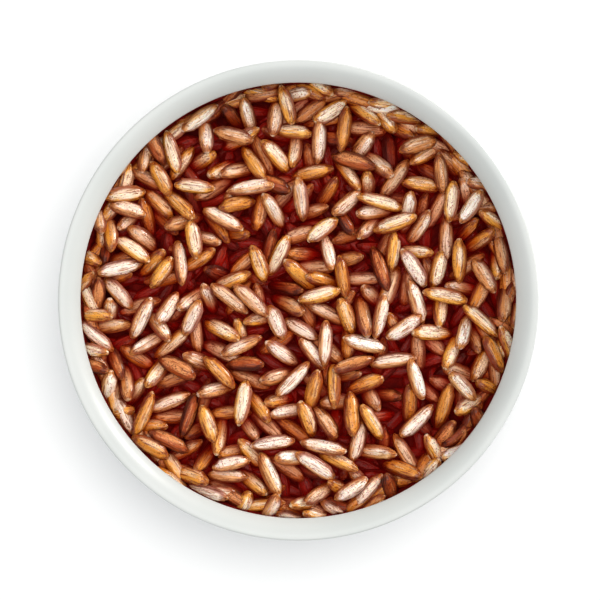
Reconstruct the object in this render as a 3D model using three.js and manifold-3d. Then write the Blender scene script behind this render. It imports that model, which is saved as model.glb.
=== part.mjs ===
// A small round porcelain bowl filled to a little below its lip with dry red rice.
// Units are millimetres. +Z is up, and the origin is the middle of the foot ring's underside.
// The bowl is one turned solid. The rice is one solid too: a plain core that fills the bowl, and
// joined to it the grains that show. The grains are settled one after another on a height map of
// the heap, by a rule with seeded draws, so the heap is the same each time.
import * as THREE from "three";
import { mergeVertices } from "three/addons/utils/BufferGeometryUtils.js";
import Module from "manifold-3d";

const wasm = await Module();
wasm.setup();

const point = (radius, height) => new THREE.Vector2(radius, height);

// ---- The bowl's sizes ----
const RIM_RADIUS = 35; // outer edge of the lip
const BOWL_HEIGHT = 32; // table to the crest of the lip
const CREST_RADIUS = 34.5; // the crest runs close to the outer edge
const CREST_DROP = 0.8; // how far the lip falls from its crest to its outer edge
const LIP_RADIUS = 32; // the lip leans in over the wall as far as here
const LIP_DROP = 1.8; // and falls by this much on the way in
const ROLL_PULL = point(33.25, BOWL_HEIGHT); // the inner roll of the lip bends round this
const WALL_TOP = point(32.7, 28.4); // where the inner wall comes out from under the lip
const TUCK_PULL = point(LIP_RADIUS, WALL_TOP.y + 0.5); // the lip's underside bends round this
const FOOT_RADIUS = 17.5;
const FOOT_WIDTH = 2.8;
const FOOT_HEIGHT = 2.6;
const FOOT_EDGE = 0.5; // the foot ring's two bottom edges are cut off by this much
const FLOOR_LEVEL = 5.4; // table to the middle of the bowl's inside
const BELLY_LOW = point(28, 3.6); // the outer wall leaves the foot towards this
const BELLY_HIGH = point(32.8, 16); // and comes to the lip from here
const HOLLOW_HIGH = point(31, 15.6); // the inner wall leaves the lip towards this
const HOLLOW_LOW = point(25, FLOOR_LEVEL); // and comes to the middle from here
const BOWL_SIDES = 60; // flats round the bowl
const OUTER_BANDS = 8;
const INNER_BANDS = 6;
const ROLL_BANDS = 3;
const TUCK_BANDS = 2;

// ---- The grains' sizes ----
const GRAIN_LENGTH = 6.4;
const GRAIN_WIDTH = 2.2;
const GRAIN_THICKNESS = 1.85;
const LENGTH_SPREAD = 0.13; // grains differ in length by this share either way
const GIRTH_SPREAD = 0.09; // and in width and in thickness by this share
const GRAIN_SIDES = 5; // flats round a grain
const PLUMP = 1.08; // the flats lie inside the round form, so the corners stand out of it
const POINTED_END = { place: -0.52, girth: 0.86 }; // rings near the ends, as shares of half a grain
const BLUNT_END = { place: 0.42, girth: 0.92 };

// ---- The heap's sizes ----
const WALL_GAP = 0.35; // clearance between rice and bowl
const HEAP_BASE = 22; // level on which the first grains settle
const HEAP_TOP = 27.4; // no grain stands above this
const GRAINS_DROPPED = 600; // grains offered to the heap, with the ones that stand too high
const GRAINS_JOINED = 220; // of the settled grains, the ones that show most
const CORE_DEPTH = 0.9; // how far the plain core lies under the heap's mean surface
const GRAIN_LIFT = 0.4; // the middle of a joined grain stands no higher over the core than this
const CORE_EDGE = 31; // radius at which the core's top meets the wall
const CORE_SIDES = 24; // flats round the core
const CORE_RINGS = 5; // rings of the core's uneven top
const CORE_BANDS = 8; // bands down the bowl's inside, of which the core has those below its edge
const MEAN_REACH = 2; // the mean surface is taken over this far each way

// ---- The settling rule ----
const HEAP_SEED = 11;
const CELL = 0.2; // step of the height map
const MAP_SIDE = Math.round((2 * RIM_RADIUS) / CELL) + 1;
const OFF_MAP = 2 * BOWL_HEIGHT; // level beyond the lip, where no grain can lie
const WALL_POINTS = 60; // points on the inner wall for the map
const STARTS = 2; // places tried for each grain before it slides
const SLIDES = [1, 0.5]; // how far a grain slides, in ever smaller moves
const TRIES_A_SLIDE = 8;
const TURN_A_MM = 0.35; // radians that a grain turns for each millimetre of its slide
const ALONG = [-0.92, -0.75, -0.55, -0.35, -0.15, 0, 0.15, 0.35, 0.55, 0.75, 0.92];
const ACROSS = [-0.85, -0.55, -0.25, 0, 0.25, 0.55, 0.85];

// ---- Outlines of the bowl ----
const lipOutside = point(RIM_RADIUS, BOWL_HEIGHT - CREST_DROP);
const lipInside = point(LIP_RADIUS, BOWL_HEIGHT - LIP_DROP);
const lipCorner = point(RIM_RADIUS, BOWL_HEIGHT);
const crest = point(CREST_RADIUS, BOWL_HEIGHT);
const wallFoot = point(FOOT_RADIUS, FOOT_HEIGHT);
const insideMiddle = point(0, FLOOR_LEVEL);

const outerWall = new THREE.CubicBezierCurve(wallFoot, BELLY_LOW, BELLY_HIGH, lipOutside);
const innerWall = new THREE.CubicBezierCurve(WALL_TOP, HOLLOW_HIGH, HOLLOW_LOW, insideMiddle);
const outerRoll = new THREE.QuadraticBezierCurve(lipOutside, lipCorner, crest);
const innerRoll = new THREE.QuadraticBezierCurve(crest, ROLL_PULL, lipInside);
const tuck = new THREE.QuadraticBezierCurve(lipInside, TUCK_PULL, WALL_TOP);

function footOutline() {
  const inside = FOOT_RADIUS - FOOT_WIDTH;
  return [
    point(0, FOOT_HEIGHT),
    point(inside, FOOT_HEIGHT),
    point(inside, FOOT_EDGE),
    point(inside + FOOT_EDGE, 0),
    point(FOOT_RADIUS - FOOT_EDGE, 0),
    point(FOOT_RADIUS, FOOT_EDGE),
  ];
}

function bowlGeometry() {
  const outline = [
    ...footOutline(),
    ...outerWall.getPoints(OUTER_BANDS),
    ...outerRoll.getPoints(1).slice(1),
    ...innerRoll.getPoints(ROLL_BANDS).slice(1),
    ...tuck.getPoints(TUCK_BANDS).slice(1),
    ...innerWall.getPoints(INNER_BANDS).slice(1),
  ];
  return new THREE.LatheGeometry(outline, BOWL_SIDES).rotateX(Math.PI / 2);
}

// ---- Geometry to solid, and back ----
function toSolid(geometry) {
  geometry.deleteAttribute("normal");
  geometry.deleteAttribute("uv");
  const merged = mergeVertices(geometry);
  return new wasm.Manifold(
    new wasm.Mesh({
      numProp: 3,
      vertProperties: merged.attributes.position.array,
      triVerts: new Uint32Array(merged.index.array),
    }),
  );
}

function toGeometry(solid) {
  const mesh = solid.getMesh();
  const geometry = new THREE.BufferGeometry();
  geometry.setAttribute("position", new THREE.BufferAttribute(mesh.vertProperties, 3));
  geometry.setIndex(new THREE.BufferAttribute(mesh.triVerts, 1));
  return geometry;
}

// ---- The heap's height map ----
const wallFromMiddle = innerWall.getPoints(WALL_POINTS).reverse();

function insideHeight(radius) {
  const next = wallFromMiddle.findIndex((p) => p.x >= radius);
  if (next < 0) return OFF_MAP;
  if (next === 0) return FLOOR_LEVEL;
  const [low, high] = [wallFromMiddle[next - 1], wallFromMiddle[next]];
  return low.y + ((high.y - low.y) * (radius - low.x)) / (high.x - low.x);
}

const toCell = (position) => Math.round((position + RIM_RADIUS) / CELL);
const toPosition = (cell) => cell * CELL - RIM_RADIUS;

function emptyMap() {
  const heights = new Float64Array(MAP_SIDE * MAP_SIDE);
  for (let row = 0; row < MAP_SIDE; row++) {
    for (let column = 0; column < MAP_SIDE; column++) {
      const radius = Math.hypot(toPosition(column), toPosition(row)) + WALL_GAP;
      heights[row * MAP_SIDE + column] = Math.max(HEAP_BASE, insideHeight(radius));
    }
  }
  return heights;
}

// A linear congruential generator of numbers from 0 to 1.
function seededRandom(seed) {
  const [multiplier, increment, range] = [1664525, 1013904223, 2 ** 32];
  let state = seed;
  return () => {
    state = (Math.imul(state, multiplier) + increment) >>> 0;
    return state / range;
  };
}

// Girth of a grain at a place along it or across it, from -1 to 1, as a share of its widest.
const girth = (share) => Math.sqrt(1 - share * share);

// How a grain comes to rest at a place: it lies on the two points of the heap, one on each side
// of its middle, that hold it highest, and they give its height there and its slope.
function rest(heights, grain, x, y, yaw) {
  const [cos, sin] = [Math.cos(yaw), Math.sin(yaw)];
  const props = [];
  for (const share of ALONG) {
    const along = (share * grain.length) / 2;
    let level = -Infinity;
    for (const side of ACROSS) {
      const across = (side * girth(share) * grain.width) / 2;
      const column = toCell(x + along * cos - across * sin);
      const row = toCell(y + along * sin + across * cos);
      const onMap = Math.min(column, row) >= 0 && Math.max(column, row) < MAP_SIDE;
      const ground = onMap ? heights[row * MAP_SIDE + column] : OFF_MAP;
      level = Math.max(level, ground + (girth(side) * girth(share) * grain.thickness) / 2);
    }
    props.push({ along, level });
  }
  let held = { height: -Infinity, slope: 0 };
  for (const near of props.filter((prop) => prop.along < 0)) {
    for (const far of props.filter((prop) => prop.along >= 0)) {
      const slope = (far.level - near.level) / (far.along - near.along);
      const height = near.level - slope * near.along;
      if (height > held.height) held = { height, slope };
    }
  }
  return { x, y, yaw, ...held };
}

// Calls visit with each cell that a settled grain covers, and the height of its top there.
function overGrain(grain, visit) {
  const [cos, sin] = [Math.cos(grain.yaw), Math.sin(grain.yaw)];
  const lean = Math.cos(Math.atan(grain.slope));
  const reach = grain.length / 2;
  for (let row = toCell(grain.y - reach); row <= toCell(grain.y + reach); row++) {
    for (let column = toCell(grain.x - reach); column <= toCell(grain.x + reach); column++) {
      const [dx, dy] = [toPosition(column) - grain.x, toPosition(row) - grain.y];
      const along = dx * cos + dy * sin;
      const share = along / (reach * lean);
      const side = (dy * cos - dx * sin) / ((girth(share) * grain.width) / 2);
      if (!(Math.abs(share) < 1 && Math.abs(side) < 1)) continue;
      const rise = (girth(side) * girth(share) * grain.thickness) / 2 / lean;
      visit(row * MAP_SIDE + column, grain.height + grain.slope * along + rise);
    }
  }
}

// Puts a grain at the lowest of several places, from where it slides to a lower one.
function settle(heights, grain, random) {
  const either = (reach) => reach * (2 * random() - 1);
  let place = { height: Infinity };
  for (let start = 0; start < STARTS; start++) {
    const radius = LIP_RADIUS * Math.sqrt(random());
    const round = 2 * Math.PI * random();
    const [x, y] = [radius * Math.cos(round), radius * Math.sin(round)];
    const tried = rest(heights, grain, x, y, Math.PI * random());
    if (tried.height < place.height) place = tried;
  }
  for (const slide of SLIDES) {
    const from = place;
    for (let turn = 0; turn < TRIES_A_SLIDE; turn++) {
      const [x, y] = [from.x + either(slide), from.y + either(slide)];
      const tried = rest(heights, grain, x, y, from.yaw + either(slide * TURN_A_MM));
      if (tried.height < place.height) place = tried;
    }
  }
  Object.assign(grain, place);
}

// The settled grains, each with the area of it that shows from above, and the filled map.
function settledHeap() {
  const random = seededRandom(HEAP_SEED);
  const drawn = (usual, spread) => usual * (1 + spread * (2 * random() - 1));
  const heights = emptyMap();
  const topGrain = new Map();
  const grains = [];
  for (let dropped = 0; dropped < GRAINS_DROPPED; dropped++) {
    const length = drawn(GRAIN_LENGTH, LENGTH_SPREAD);
    const width = drawn(GRAIN_WIDTH, GIRTH_SPREAD);
    const thickness = drawn(GRAIN_THICKNESS, GIRTH_SPREAD);
    const grain = { length, width, thickness, shows: 0 };
    settle(heights, grain, random);
    let top = -Infinity;
    overGrain(grain, (cell, height) => {
      top = Math.max(top, height);
    });
    if (top > HEAP_TOP) continue;
    grains.push(grain);
    overGrain(grain, (cell, height) => {
      if (height <= heights[cell]) return;
      heights[cell] = height;
      topGrain.set(cell, grain);
    });
  }
  for (const grain of topGrain.values()) grain.shows += CELL * CELL;
  return { grains, heights };
}

// ---- The pieces of the rice ----
function meanSurface(heights, x, y) {
  let [sum, cells] = [0, 0];
  for (let row = toCell(y - MEAN_REACH); row <= toCell(y + MEAN_REACH); row++) {
    for (let column = toCell(x - MEAN_REACH); column <= toCell(x + MEAN_REACH); column++) {
      if (Math.hypot(toPosition(column), toPosition(row)) > CORE_EDGE) continue;
      sum += heights[row * MAP_SIDE + column];
      cells += 1;
    }
  }
  return sum / cells;
}

const coreLevel = (heights, x, y) => meanSurface(heights, x, y) - CORE_DEPTH;

// The core fills the bowl up to its edge, and its top follows the heap from below.
function coreSolid(heights) {
  const outline = [];
  for (let ring = 0; ring <= CORE_RINGS; ring++) {
    outline.push(point((CORE_EDGE * ring) / CORE_RINGS, HEAP_TOP));
  }
  const edgeLevel = insideHeight(CORE_EDGE + WALL_GAP);
  for (const wall of innerWall.getPoints(CORE_BANDS)) {
    if (wall.y > edgeLevel) continue;
    outline.push(point(Math.max(0, wall.x - WALL_GAP), wall.y + WALL_GAP));
  }
  const geometry = new THREE.LatheGeometry(outline.reverse(), CORE_SIDES).rotateX(Math.PI / 2);
  const places = geometry.attributes.position;
  for (let k = 0; k < places.count; k++) {
    if (places.getZ(k) < HEAP_TOP - CELL) continue;
    places.setZ(k, coreLevel(heights, places.getX(k), places.getY(k)));
  }
  return toSolid(geometry);
}

function grainSolid(grain, heights) {
  const rings = [POINTED_END, BLUNT_END].map((ring) => point(ring.girth, ring.place));
  const outline = [point(0, -1), ...rings, point(0, 1)];
  const geometry = new THREE.LatheGeometry(outline, GRAIN_SIDES);
  geometry.scale((PLUMP * grain.thickness) / 2, grain.length / 2, (PLUMP * grain.width) / 2);
  geometry.rotateZ(-Math.PI / 2);
  geometry.rotateY(-Math.atan(grain.slope));
  geometry.rotateZ(grain.yaw);
  const highest = coreLevel(heights, grain.x, grain.y) + GRAIN_LIFT;
  geometry.translate(grain.x, grain.y, Math.min(grain.height, highest));
  return toSolid(geometry);
}

// The joined heap, without any scrap that hangs loose or hollow that the joining shuts in.
function riceGeometry() {
  const { grains, heights } = settledHeap();
  const shown = grains.sort((a, b) => b.shows - a.shows).slice(0, GRAINS_JOINED);
  const pieces = [coreSolid(heights), ...shown.map((grain) => grainSolid(grain, heights))];
  const bodies = wasm.Manifold.union(pieces).decompose();
  const [largest] = bodies.sort((a, b) => b.volume() - a.volume());
  return toGeometry(largest);
}

// ---- The part ----
function named(name, geometry, material) {
  const mesh = new THREE.Mesh(geometry, new THREE.MeshStandardMaterial(material));
  mesh.name = name;
  return mesh;
}

const part = new THREE.Group();
part.add(named("bowl", bowlGeometry(), { color: 0xf1f2ef, roughness: 0.15, metalness: 0 }));
part.add(named("rice", riceGeometry(), { color: 0xa9643a, roughness: 0.45, metalness: 0 }));

export default part;
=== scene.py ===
"""A small white glazed bowl of dry red rice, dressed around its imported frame.

Sizes are named in millimetres, as the bowl's maker would give them, and turned into metres where
a mesh is made. +Z is up, and the origin is the middle of the foot ring's underside.
"""

from __future__ import annotations

import logging
import math
from collections.abc import Iterable
from dataclasses import dataclass, field
from enum import Enum

import bpy
import numpy as np
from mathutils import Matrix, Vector


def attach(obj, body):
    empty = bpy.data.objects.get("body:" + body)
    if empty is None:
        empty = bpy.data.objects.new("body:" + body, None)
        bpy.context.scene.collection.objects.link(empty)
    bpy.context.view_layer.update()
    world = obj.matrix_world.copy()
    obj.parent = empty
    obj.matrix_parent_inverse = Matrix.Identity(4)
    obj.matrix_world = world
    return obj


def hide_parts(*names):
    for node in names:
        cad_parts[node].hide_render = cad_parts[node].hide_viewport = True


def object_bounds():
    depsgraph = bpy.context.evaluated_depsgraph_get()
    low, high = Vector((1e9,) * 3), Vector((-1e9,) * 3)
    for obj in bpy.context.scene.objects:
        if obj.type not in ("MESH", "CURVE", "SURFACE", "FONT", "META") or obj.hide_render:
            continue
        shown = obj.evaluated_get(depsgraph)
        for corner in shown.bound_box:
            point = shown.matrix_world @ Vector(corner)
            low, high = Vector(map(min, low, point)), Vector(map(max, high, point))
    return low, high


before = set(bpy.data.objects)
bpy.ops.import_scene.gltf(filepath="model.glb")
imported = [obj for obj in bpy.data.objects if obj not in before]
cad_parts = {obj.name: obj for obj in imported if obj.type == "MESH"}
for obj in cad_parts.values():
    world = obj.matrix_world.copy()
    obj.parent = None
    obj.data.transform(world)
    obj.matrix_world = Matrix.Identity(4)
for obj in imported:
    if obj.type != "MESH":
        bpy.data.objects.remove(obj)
CAD_BOX = [list(corner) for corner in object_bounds()]

MM = 0.001
RIM_RADIUS = CAD_BOX[1][0] / MM  # outer edge of the lip, as the frame has it
BOWL_HEIGHT = CAD_BOX[1][2] / MM

log = logging.getLogger("rice_bowl")

Colour = tuple[float, float, float]
Triple = tuple[float, float, float]  # three numbers that aren't a colour, such as a stretch
Band = tuple[float, float]  # where something starts and where it ends


def shade(red: float, green: float, blue: float) -> Colour:
    """Turns a colour as it looks on a screen, 0 to 255, into the light that a shader takes."""
    parts = np.array([red, green, blue]) / 255.0
    linear = np.where(parts <= 0.04045, parts / 12.92, ((parts + 0.055) / 1.055) ** 2.4)
    return tuple(float(part) for part in linear)


# ---------------------------------------------------------------------------------------------
# Small helpers for node trees and meshes
# ---------------------------------------------------------------------------------------------


def plug(tree: bpy.types.NodeTree, target: bpy.types.NodeSocket, value: object) -> None:
    """Links an output to a socket, or sets the socket to a plain value.

    Args:
        tree: the sockets' tree.
        target: the socket.
        value: an output, or a number, word, colour or the like.
    """
    if isinstance(value, bpy.types.NodeSocket):
        tree.links.new(value, target)
    else:
        target.default_value = (*value, 1.0) if target.type == "RGBA" else value


def add_node(
    tree: bpy.types.NodeTree, kind: str, given: dict[str | int, object] | None = None, **settings: object
) -> bpy.types.Node:
    """Adds a node to a tree.

    Args:
        tree: the tree.
        kind: the node's type name.
        given: an output or a plain value for each input that gets one, by its name or number.
        settings: the node's own properties.

    Returns:
        The new node.
    """
    made = tree.nodes.new(kind)
    for name, value in settings.items():
        setattr(made, name, value)
    for name, value in (given or {}).items():
        plug(tree, made.inputs[name], value)
    return made


class Shader:
    """A material's node tree, with short calls for the nodes that the finishes share."""

    def __init__(self, name: str) -> None:
        """Makes an empty material with its surface shader.

        Args:
            name: the material's name.
        """
        self.material = bpy.data.materials.new(name)
        self.material.use_nodes = True
        self.tree = self.material.node_tree
        self.surface = self.tree.nodes["Principled BSDF"]

    def node(
        self, kind: str, given: dict[str | int, object] | None = None, **settings: object
    ) -> bpy.types.Node:
        """Adds a node, as add_node does."""
        return add_node(self.tree, kind, given, **settings)

    def dress(self, looks: dict[str, object]) -> None:
        """Gives the surface's own sockets outputs or plain values, by their names."""
        for name, value in looks.items():
            plug(self.tree, self.surface.inputs[name], value)

    def attribute(self, name: str, output: str) -> bpy.types.NodeSocket:
        """Reads one of the mesh's attributes."""
        return self.node("ShaderNodeAttribute", attribute_name=name).outputs[output]

    def split(self, vector: bpy.types.NodeSocket) -> Iterable[bpy.types.NodeSocket]:
        """Gives the outputs of a vector's X, Y and Z."""
        return self.node("ShaderNodeSeparateXYZ", {0: vector}).outputs

    def maths(self, operation: str, *values: object) -> bpy.types.NodeSocket:
        """Works out one number from others, with the Math node's operation."""
        return self.node("ShaderNodeMath", dict(enumerate(values)), operation=operation).outputs[0]

    def product(self, first: object, *others: object) -> object:
        """Multiplies numbers or outputs.

        Args:
            first: the first of them.
            others: the others.

        Returns:
            The product's output.
        """
        for other in others:
            first = self.maths("MULTIPLY", first, other)
        return first

    def weighed(self, *terms: tuple[bpy.types.NodeSocket, float]) -> object:
        """Adds up outputs, each times its weight.

        Args:
            terms: pairs of an output and its weight.

        Returns:
            The sum's output.
        """
        total: object = 0.0
        for value, weight in terms:
            total = self.maths("MULTIPLY_ADD", value, weight, total)
        return total

    def ramp(
        self, value: bpy.types.NodeSocket, low: float, high: float, start: float = 0.0, end: float = 1.0
    ) -> bpy.types.NodeSocket:
        """Maps a number smoothly from low..high to start..end.

        Args:
            value: the output to map.
            low: where the change starts.
            high: where it ends.
            start: the result at low.
            end: the result at high.

        Returns:
            The mapped output.
        """
        given = {"Value": value, "From Min": low, "From Max": high, "To Min": start, "To Max": end}
        return self.node("ShaderNodeMapRange", given, interpolation_type="SMOOTHSTEP").outputs["Result"]

    def blend(
        self, share: object, first: object, second: object, mode: str = "MIX"
    ) -> bpy.types.NodeSocket:
        """Mixes two colours.

        Args:
            share: how much of the second colour, 0 to 1.
            first: a colour or an output.
            second: a colour or an output.
            mode: the Mix node's blend type.

        Returns:
            The mixed colour's output.
        """
        given = {0: share, 6: first, 7: second}  # its colours share their names with other inputs
        made = self.node("ShaderNodeMix", given, data_type="RGBA", blend_type=mode, clamp_factor=True)
        return made.outputs[2]

    def noise(
        self, place: bpy.types.NodeSocket, stretch: Triple, change: object, detail: float = 2.0
    ) -> bpy.types.NodeSocket:
        """A noise that can be drawn out along one way, and differs as change does.

        Args:
            place: where on the piece the noise is read.
            stretch: how fine the noise is along each axis.
            change: the noise's fourth coordinate.
            detail: how many finer layers it has.

        Returns:
            The noise's output, about 0.5 in the mean.
        """
        scaled = self.node("ShaderNodeVectorMath", {0: place, 1: stretch}, operation="MULTIPLY")
        given = {"Vector": scaled.outputs[0], "W": change, "Scale": 1.0, "Detail": detail}
        return self.node("ShaderNodeTexNoise", given, noise_dimensions="4D").outputs["Fac"]

    def bump(self, height: object, depth: float) -> None:
        """Gives the surface a fine relief.

        Args:
            height: the relief, 0 to 1.
            depth: its depth in millimetres.
        """
        given = {"Strength": 1.0, "Distance": depth * MM, "Height": height}
        self.dress({"Normal": self.node("ShaderNodeBump", given).outputs["Normal"]})


def bezier(points: list[tuple[float, float]], steps: int) -> np.ndarray:
    """Points on a Bezier curve of any order.

    Args:
        points: its control points, as radius and height.
        steps: how many stretches it is cut into.

    Returns:
        An array of steps + 1 points.
    """
    along = np.linspace(0.0, 1.0, steps + 1)[:, None]
    order = len(points) - 1
    curve = np.zeros((steps + 1, 2))
    for k, control in enumerate(points):
        weight = math.comb(order, k) * along**k * (1 - along) ** (order - k)
        curve += weight * np.array(control)
    return curve


def turned(outline: np.ndarray, sides: int) -> tuple[np.ndarray, list[tuple[int, ...]]]:
    """Turns an outline that starts and ends on the axis into a closed skin.

    Args:
        outline: points of radius and height, from the bottom's middle round to the top's.
        sides: flats round the axis.

    Returns:
        The vertices and the faces.
    """
    rings = outline[1:-1]
    turn = np.linspace(0.0, 2 * math.pi, sides, endpoint=False)
    skin = np.stack(
        [
            rings[:, :1] * np.cos(turn),
            rings[:, :1] * np.sin(turn),
            np.repeat(rings[:, 1:], sides, axis=1),
        ],
        axis=-1,
    ).reshape(-1, 3)
    poles = np.array([[0.0, 0.0, outline[0][1]], [0.0, 0.0, outline[-1][1]]])
    first_pole, last_pole = len(skin), len(skin) + 1
    faces: list[tuple[int, ...]] = []
    for side in range(sides):
        after = (side + 1) % sides
        for ring in range(len(rings) - 1):
            low, high = ring * sides, (ring + 1) * sides
            faces.append((low + side, low + after, high + after, high + side))
        faces.append((first_pole, after, side))
        last = (len(rings) - 1) * sides
        faces.append((last + side, last + after, last_pole))
    return np.vstack([skin, poles]), faces


def make_piece(
    name: str, places: np.ndarray, faces: list[tuple[int, ...]], material: bpy.types.Material
) -> bpy.types.Object:
    """Makes a smooth mesh object, in the scene at the origin.

    Args:
        name: the piece's name.
        places: its vertices in millimetres.
        faces: its faces.
        material: its material.

    Returns:
        The new object.
    """
    mesh = bpy.data.meshes.new(name)
    mesh.from_pydata((places * MM).tolist(), [], faces)
    mesh.shade_smooth()
    mesh.materials.append(material)
    piece = bpy.data.objects.new(name, mesh)
    bpy.context.scene.collection.objects.link(piece)
    return piece


def join_part(piece: bpy.types.Object, node: str) -> None:
    """Puts a piece on the bowl's one body in place of a node."""
    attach(piece, "root")
    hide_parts(node)
    log.info("%s: %d faces, stands for %s", piece.name, len(piece.data.polygons), node)


# ---------------------------------------------------------------------------------------------
# The bowl
# ---------------------------------------------------------------------------------------------


@dataclass(frozen=True)
class GlazeFinish:
    """White glaze, with the bare foot of the ring under it."""

    glaze: Colour = shade(204, 206, 203)
    glaze_pooled: Colour = shade(198, 201, 198)
    bare_clay: Colour = shade(222, 214, 200)
    bare_height: float = 0.55  # the ring is wiped clean of glaze up to here
    bare_fade: float = 1.3  # the glaze is whole from here up, in bare_heights
    glaze_roughness: float = 0.34
    clay_roughness: float = 0.75
    pool_fineness: float = 60.0
    pool_band: Band = (0.35, 0.7)
    pit_fineness: float = 900.0
    pit_share: float = 0.3  # how much the pits add to the relief of the pools
    pit_draw: float = 3.0  # has the pits read another part of the noise than the pools
    pit_depth: float = 0.012

    def material(self) -> bpy.types.Material:
        """Makes the finish as a material that reads the piece's own place.

        Returns:
            The material.
        """
        shader = Shader("white_glaze")
        place = shader.node("ShaderNodeTexCoord").outputs["Object"]
        _, _, height = shader.split(place)
        bare_top = self.bare_height * MM
        bare = shader.ramp(height, bare_top, bare_top * self.bare_fade, 1.0, 0.0)
        pools = shader.noise(place, (self.pool_fineness,) * 3, 0.0)
        pits = shader.noise(place, (self.pit_fineness,) * 3, self.pit_draw)
        glaze = shader.blend(shader.ramp(pools, *self.pool_band), self.glaze, self.glaze_pooled)
        shader.dress(
            {
                "Base Color": shader.blend(bare, glaze, self.bare_clay),
                "Roughness": shader.ramp(bare, 0.0, 1.0, self.glaze_roughness, self.clay_roughness),
            }
        )
        shader.bump(shader.weighed((pools, 1.0), (pits, self.pit_share)), self.pit_depth)
        return shader.material


@dataclass(frozen=True)
class Bowl:
    """The turned bowl. Sizes are in millimetres."""

    crest_radius: float = RIM_RADIUS - 0.3
    crest_drop: float = 0.7  # how far the lip falls from its crest to its outer edge
    roll_pull: float = RIM_RADIUS - 1.8
    lip_radius: float = RIM_RADIUS - 3.12  # the lip leans in over the wall as far as here
    lip_drop: float = 1.85
    lip_round: float = 0.15
    lip_tuck: float = 0.5  # how far over the wall's top the lip's underside turns
    wall_top: tuple[float, float] = (32.7, 28.4)  # where the wall comes out from under the lip
    foot_radius: float = 17.5
    foot_width: float = 2.8
    foot_height: float = 2.6
    foot_edge: float = 0.5
    foot_hollow: float = 0.7  # fillet between the ring and the bowl's underside
    floor_level: float = 5.4
    belly: tuple[tuple[float, float], ...] = ((28.0, 3.6), (32.8, 16.0))
    hollow: tuple[tuple[float, float], ...] = ((31.0, 15.6), (25.0, 5.4))
    sides: int = 168
    inside_steps: int = 40
    fine_steps: int = 240  # the inside's stretches where a radius is looked up on it
    finish: GlazeFinish = field(default_factory=GlazeFinish)

    def inner_wall(self, steps: int) -> np.ndarray:
        """The inside, from under the lip down to the middle."""
        return bezier([self.wall_top, *self.hollow, (0.0, self.floor_level)], steps)

    def inside_radius(self, height: float | np.ndarray) -> float | np.ndarray:
        """The inside's radius at one height or at many."""
        wall = self.inner_wall(self.fine_steps)[::-1]
        return np.interp(height, wall[:, 1], wall[:, 0])

    def outline(self) -> np.ndarray:
        """The whole section, from the underside's middle round to the inside's middle.

        Returns:
            Points of radius and height.
        """
        inside, outside = self.foot_radius - self.foot_width, self.foot_radius
        edge, height, fillet = self.foot_edge, self.foot_height, self.foot_hollow
        lip_outside = (RIM_RADIUS, BOWL_HEIGHT - self.crest_drop)
        lip_inside = (self.lip_radius, BOWL_HEIGHT - self.lip_drop)
        roll_pull = (self.roll_pull, BOWL_HEIGHT)
        crest = (self.crest_radius, BOWL_HEIGHT)
        lean = np.array(roll_pull) - np.array(lip_inside)
        lip_start = tuple(np.array(lip_inside) + lean / np.hypot(*lean) * self.lip_round)
        lip_end = (self.lip_radius, lip_inside[1] - self.lip_round)
        under_lip = (self.lip_radius, self.wall_top[1] + self.lip_tuck)
        runs = (  # each run's control points, and the stretches that it is cut into
            ([(0.0, height), (inside / 2, height)], 1),
            ([(inside - fillet, height), (inside, height), (inside, height - fillet)], 5),
            ([(inside, edge), (inside, 0.0), (inside + edge, 0.0)], 5),
            ([(outside - edge, 0.0), (outside, 0.0), (outside, edge)], 5),
            ([(outside, height), *self.belly, lip_outside], 44),
            ([lip_outside, (RIM_RADIUS, BOWL_HEIGHT), crest], 8),
            ([crest, roll_pull, lip_start], 16),
            ([lip_start, lip_inside, lip_end], 4),
            ([lip_end, under_lip, self.wall_top], 8),
            ([self.wall_top, *self.hollow, (0.0, self.floor_level)], self.inside_steps),
        )
        parts = [bezier(*runs[0])]
        for run in runs[1:]:
            part = bezier(*run)
            parts.append(part[1:] if np.allclose(part[0], parts[-1][-1]) else part)
        return np.vstack(parts)

    def build(self) -> bpy.types.Object:
        """Makes the bowl, glazed, in place of its solid.

        Returns:
            The bowl's object.
        """
        places, faces = turned(self.outline(), self.sides)
        piece = make_piece("bowl_glazed", places, faces, self.finish.material())
        join_part(piece, "bowl")
        return piece


# ---------------------------------------------------------------------------------------------
# How the grains settle
# ---------------------------------------------------------------------------------------------


class Draws:
    """A linear congruential generator of numbers from 0 to 1, the same on every machine."""

    MULTIPLIER = 1664525
    INCREMENT = 1013904223
    RANGE = 2**32

    def __init__(self, seed: int) -> None:
        """Starts the row of draws at a seed."""
        self.state = seed

    def take(self, count: int) -> np.ndarray:
        """The next draws.

        Args:
            count: how many.

        Returns:
            Their array.
        """
        drawn = np.empty(count)
        for k in range(count):
            self.state = (self.state * self.MULTIPLIER + self.INCREMENT) % self.RANGE
            drawn[k] = self.state / self.RANGE
        return drawn


@dataclass
class Grain:
    """One settled grain. Lengths are in millimetres and angles in radians."""

    length: float
    width: float
    thickness: float
    x: float = 0.0
    y: float = 0.0
    yaw: float = 0.0
    height: float = math.inf
    slope: float = 0.0


def girth(share: np.ndarray) -> np.ndarray:
    """A grain's girth at a place along or across it, from -1 to 1, as a share of its widest."""
    return np.sqrt(np.clip(1 - share * share, 0.0, None))


def either(draw: np.random.Generator, spread: float) -> float:
    """A draw from the spread either way of 0."""
    return draw.uniform(-spread, spread)


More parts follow.
